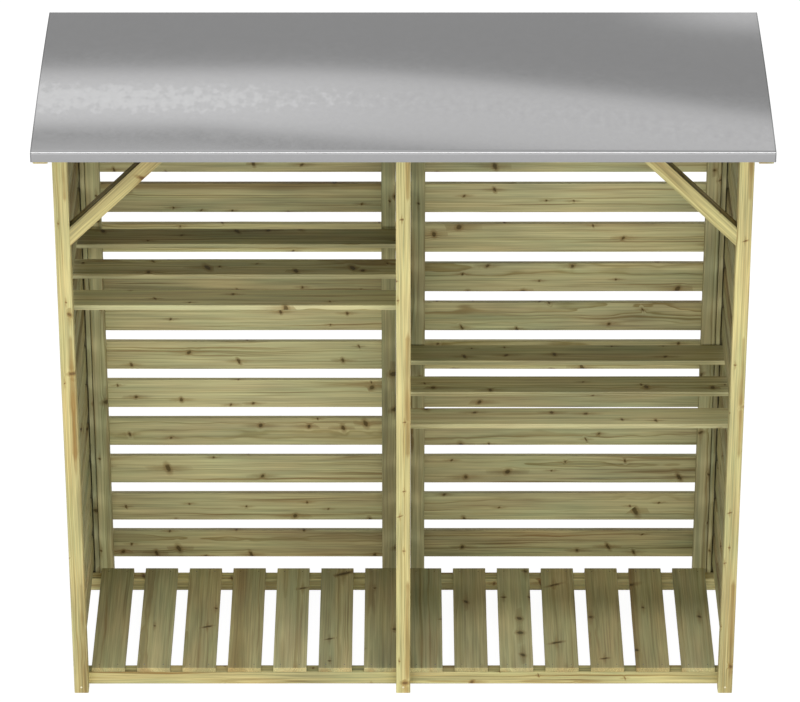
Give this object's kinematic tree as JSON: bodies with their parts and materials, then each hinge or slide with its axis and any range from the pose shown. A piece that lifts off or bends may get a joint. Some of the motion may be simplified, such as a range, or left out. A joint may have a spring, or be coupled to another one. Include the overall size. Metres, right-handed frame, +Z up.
{
  "type": "log store",
  "caption": "Open-fronted log store in slatted softwood, with a divider, slatted floor, shelf boards, corner braces and a curved galvanised steel roof.",
  "frame": {"origin": "on the ground under the middle of the roof", "axes": "+X to the right seen from the open front, +Y towards the back wall, +Z up"},
  "size_m": [2.202, 0.873, 2.0197],
  "materials": {
    "post_timber": "sawn, pressure treated",
    "board_timber": "sawn, pressure treated",
    "roof_steel": "galvanised, dull"
  },
  "bodies": {
    "root": {"left_front_post": "post_timber", "centre_front_post": "post_timber", "right_front_post": "post_timber", "left_rear_post": "post_timber", "centre_rear_post": "post_timber", "right_rear_post": "post_timber", "left_outer_upright": "post_timber", "left_inner_upright": "post_timber", "right_inner_upright": "post_timber", "right_outer_upright": "post_timber", "left_floor_front_rail": "post_timber", "left_floor_rear_rail": "post_timber", "right_floor_front_rail": "post_timber", "right_floor_rear_rail": "post_timber", "left_brace": "post_timber", "right_brace": "post_timber", "front_purlin": "post_timber", "rear_purlin": "post_timber", "left_roof_rail": "post_timber", "centre_roof_rail": "post_timber", "right_roof_rail": "post_timber", "left_side_boards": "board_timber", "divider_boards": "board_timber", "right_side_boards": "board_timber", "left_back_boards": "board_timber", "right_back_boards": "board_timber", "left_floor_boards": "board_timber", "right_floor_boards": "board_timber", "left_shelf_front_board": "board_timber", "left_shelf_middle_board": "board_timber", "left_shelf_rear_board": "board_timber", "right_shelf_front_board": "board_timber", "right_shelf_middle_board": "board_timber", "right_shelf_rear_board": "board_timber", "roof_sheet": "roof_steel"}
  },
  "joints": []
}
